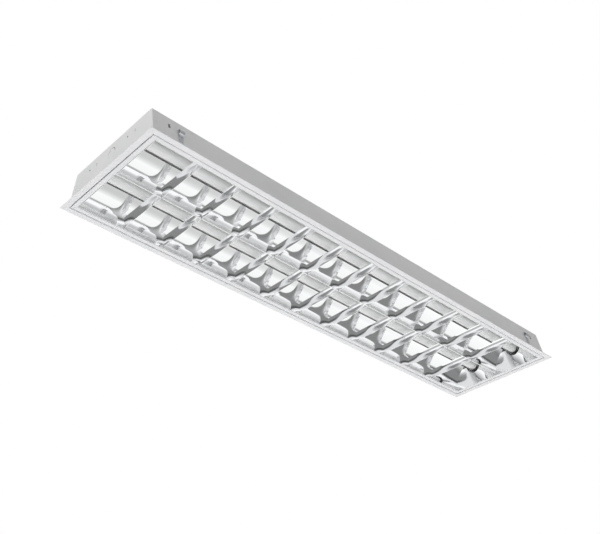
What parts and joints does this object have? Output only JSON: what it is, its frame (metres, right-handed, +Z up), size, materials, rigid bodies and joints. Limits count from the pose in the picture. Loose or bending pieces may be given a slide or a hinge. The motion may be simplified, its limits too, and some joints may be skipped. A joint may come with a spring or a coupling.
{
  "type": "recessed troffer light",
  "caption": "Recessed ceiling light for straight tubes: white sheet-steel tray, hinged mirror louvre with cross blades, and lamps that twist into their holders.",
  "frame": {"origin": "middle of the underside of the ceiling flange", "axes": "+X along the light, +Y across it towards the hinged side of the louvre, +Z up into the ceiling"},
  "size_m": [1.245, 0.31, 0.0762],
  "materials": {
    "white_paint": "satin powder coat",
    "zinc_steel": "zinc plated",
    "spring_steel": "polished",
    "holder_plastic": "gloss",
    "ballast_steel": "bright zinc",
    "terminal_plastic": "matte",
    "grommet_rubber": "matte",
    "brass": "plain",
    "supply_wire_jacket": "satin",
    "lamp_wire_jacket": "satin",
    "lamp_glass": "white phosphor inside clear glass",
    "lamp_cap_metal": "satin",
    "mirror_aluminium": "mirror anodised",
    "blade_aluminium": "bright anodised"
  },
  "bodies": {
    "housing": {"housing_tray": "white_paint", "end_plate_left": "white_paint", "end_plate_right": "white_paint", "ceiling_clip_a_left": "zinc_steel", "ceiling_clip_a_right": "zinc_steel", "ceiling_clip_b_left": "zinc_steel", "ceiling_clip_b_right": "zinc_steel", "rivets": "zinc_steel", "lampholder_a_left": "holder_plastic", "lampholder_a_right": "holder_plastic", "lampholder_b_left": "holder_plastic", "lampholder_b_right": "holder_plastic", "ballast_case": "ballast_steel", "ballast_connectors": "terminal_plastic", "terminal_block": "terminal_plastic", "cable_grommet": "grommet_rubber", "gear_screws": "zinc_steel", "earth_stud": "brass", "hinge_eyes": "zinc_steel", "supply_wires": "supply_wire_jacket", "lamp_wires_left": "lamp_wire_jacket", "lamp_wires_right": "lamp_wire_jacket"},
    "lamp_a": {"lamp_a_tube": "lamp_glass", "lamp_a_cap_left": "lamp_cap_metal", "lamp_a_cap_right": "lamp_cap_metal", "lamp_a_pins": "brass", "lamp_a_rotor_left": "holder_plastic", "lamp_a_rotor_right": "holder_plastic"},
    "lamp_b": {"lamp_b_tube": "lamp_glass", "lamp_b_cap_left": "lamp_cap_metal", "lamp_b_cap_right": "lamp_cap_metal", "lamp_b_pins": "brass", "lamp_b_rotor_left": "holder_plastic", "lamp_b_rotor_right": "holder_plastic"},
    "louvre": {"frame_rail_a": "white_paint", "frame_rail_b": "white_paint", "frame_end_left": "white_paint", "frame_end_right": "white_paint", "side_reflector_a": "mirror_aluminium", "side_reflector_b": "mirror_aluminium", "centre_reflector": "mirror_aluminium", "end_reflector_a_left": "mirror_aluminium", "end_reflector_a_right": "mirror_aluminium", "end_reflector_b_left": "mirror_aluminium", "end_reflector_b_right": "mirror_aluminium", "cross_blade_01": "blade_aluminium", "cross_blade_02": "blade_aluminium", "cross_blade_03": "blade_aluminium", "cross_blade_04": "blade_aluminium", "cross_blade_05": "blade_aluminium", "cross_blade_06": "blade_aluminium", "cross_blade_07": "blade_aluminium", "cross_blade_08": "blade_aluminium", "cross_blade_09": "blade_aluminium", "cross_blade_10": "blade_aluminium", "cross_blade_11": "blade_aluminium", "hinge_pins": "zinc_steel", "louvre_springs": "spring_steel"}
  },
  "joints": [
    {"name": "louvre_swing", "type": "hinge", "parent": "housing", "child": "louvre", "pos_m": [0, 0.1345, 0.004], "axis": [1, 0, 0], "range_deg": [0, 90]},
    {"name": "lamp_a_twist", "type": "hinge", "parent": "housing", "child": "lamp_a", "pos_m": [0, -0.06505, 0.055], "axis": [1, 0, 0], "range_deg": [0, 90]},
    {"name": "lamp_b_twist", "type": "hinge", "parent": "housing", "child": "lamp_b", "pos_m": [0, 0.06505, 0.055], "axis": [1, 0, 0], "range_deg": [0, 90]}
  ]
}
